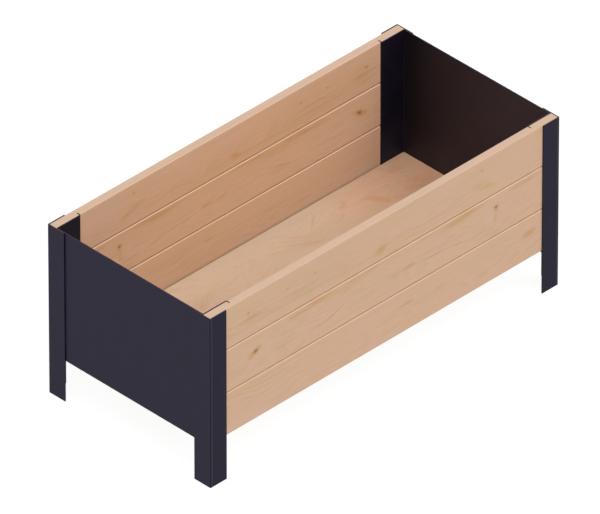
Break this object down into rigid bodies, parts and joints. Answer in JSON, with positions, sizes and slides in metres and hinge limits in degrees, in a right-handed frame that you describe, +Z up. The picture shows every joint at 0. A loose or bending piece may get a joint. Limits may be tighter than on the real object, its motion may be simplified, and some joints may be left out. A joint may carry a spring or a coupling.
{
  "type": "wooden planter box",
  "caption": "Long open planter box: tongue-and-groove wooden sides between folded black steel ends, raised on steel angle legs, with a plywood floor.",
  "frame": {"origin": "on the ground, under the middle of the box", "axes": "+X along the box towards its right end, +Y across it towards its back, +Z up"},
  "size_m": [1.072, 0.5, 0.45],
  "materials": {
    "spruce_board": "planed softwood boards, pale and warm, with soft grain and small knots",
    "floor_plywood": "rotary-cut plywood with wide curly grain, unfinished",
    "black_powder_coat": "fine-textured matt powder coat, bluish black",
    "zinc_plated_steel": "bright zinc plating"
  },
  "bodies": {
    "root": {"leg_left_front": "black_powder_coat", "leg_left_back": "black_powder_coat", "leg_right_front": "black_powder_coat", "leg_right_back": "black_powder_coat", "end_panel_left": "black_powder_coat", "end_panel_right": "black_powder_coat", "floor_bearer_1": "black_powder_coat", "floor_bearer_2": "black_powder_coat", "floor_bearer_3": "black_powder_coat", "front_board_1": "spruce_board", "front_board_2": "spruce_board", "front_board_3": "spruce_board", "back_board_1": "spruce_board", "back_board_2": "spruce_board", "back_board_3": "spruce_board", "floor_panel": "floor_plywood", "front_screw_1": "zinc_plated_steel", "front_screw_2": "zinc_plated_steel", "front_screw_3": "zinc_plated_steel", "front_screw_4": "zinc_plated_steel", "front_screw_5": "zinc_plated_steel", "front_screw_6": "zinc_plated_steel", "front_screw_7": "zinc_plated_steel", "front_screw_8": "zinc_plated_steel", "back_screw_1": "zinc_plated_steel", "back_screw_2": "zinc_plated_steel", "back_screw_3": "zinc_plated_steel", "back_screw_4": "zinc_plated_steel", "back_screw_5": "zinc_plated_steel", "back_screw_6": "zinc_plated_steel", "back_screw_7": "zinc_plated_steel", "back_screw_8": "zinc_plated_steel"}
  },
  "joints": []
}
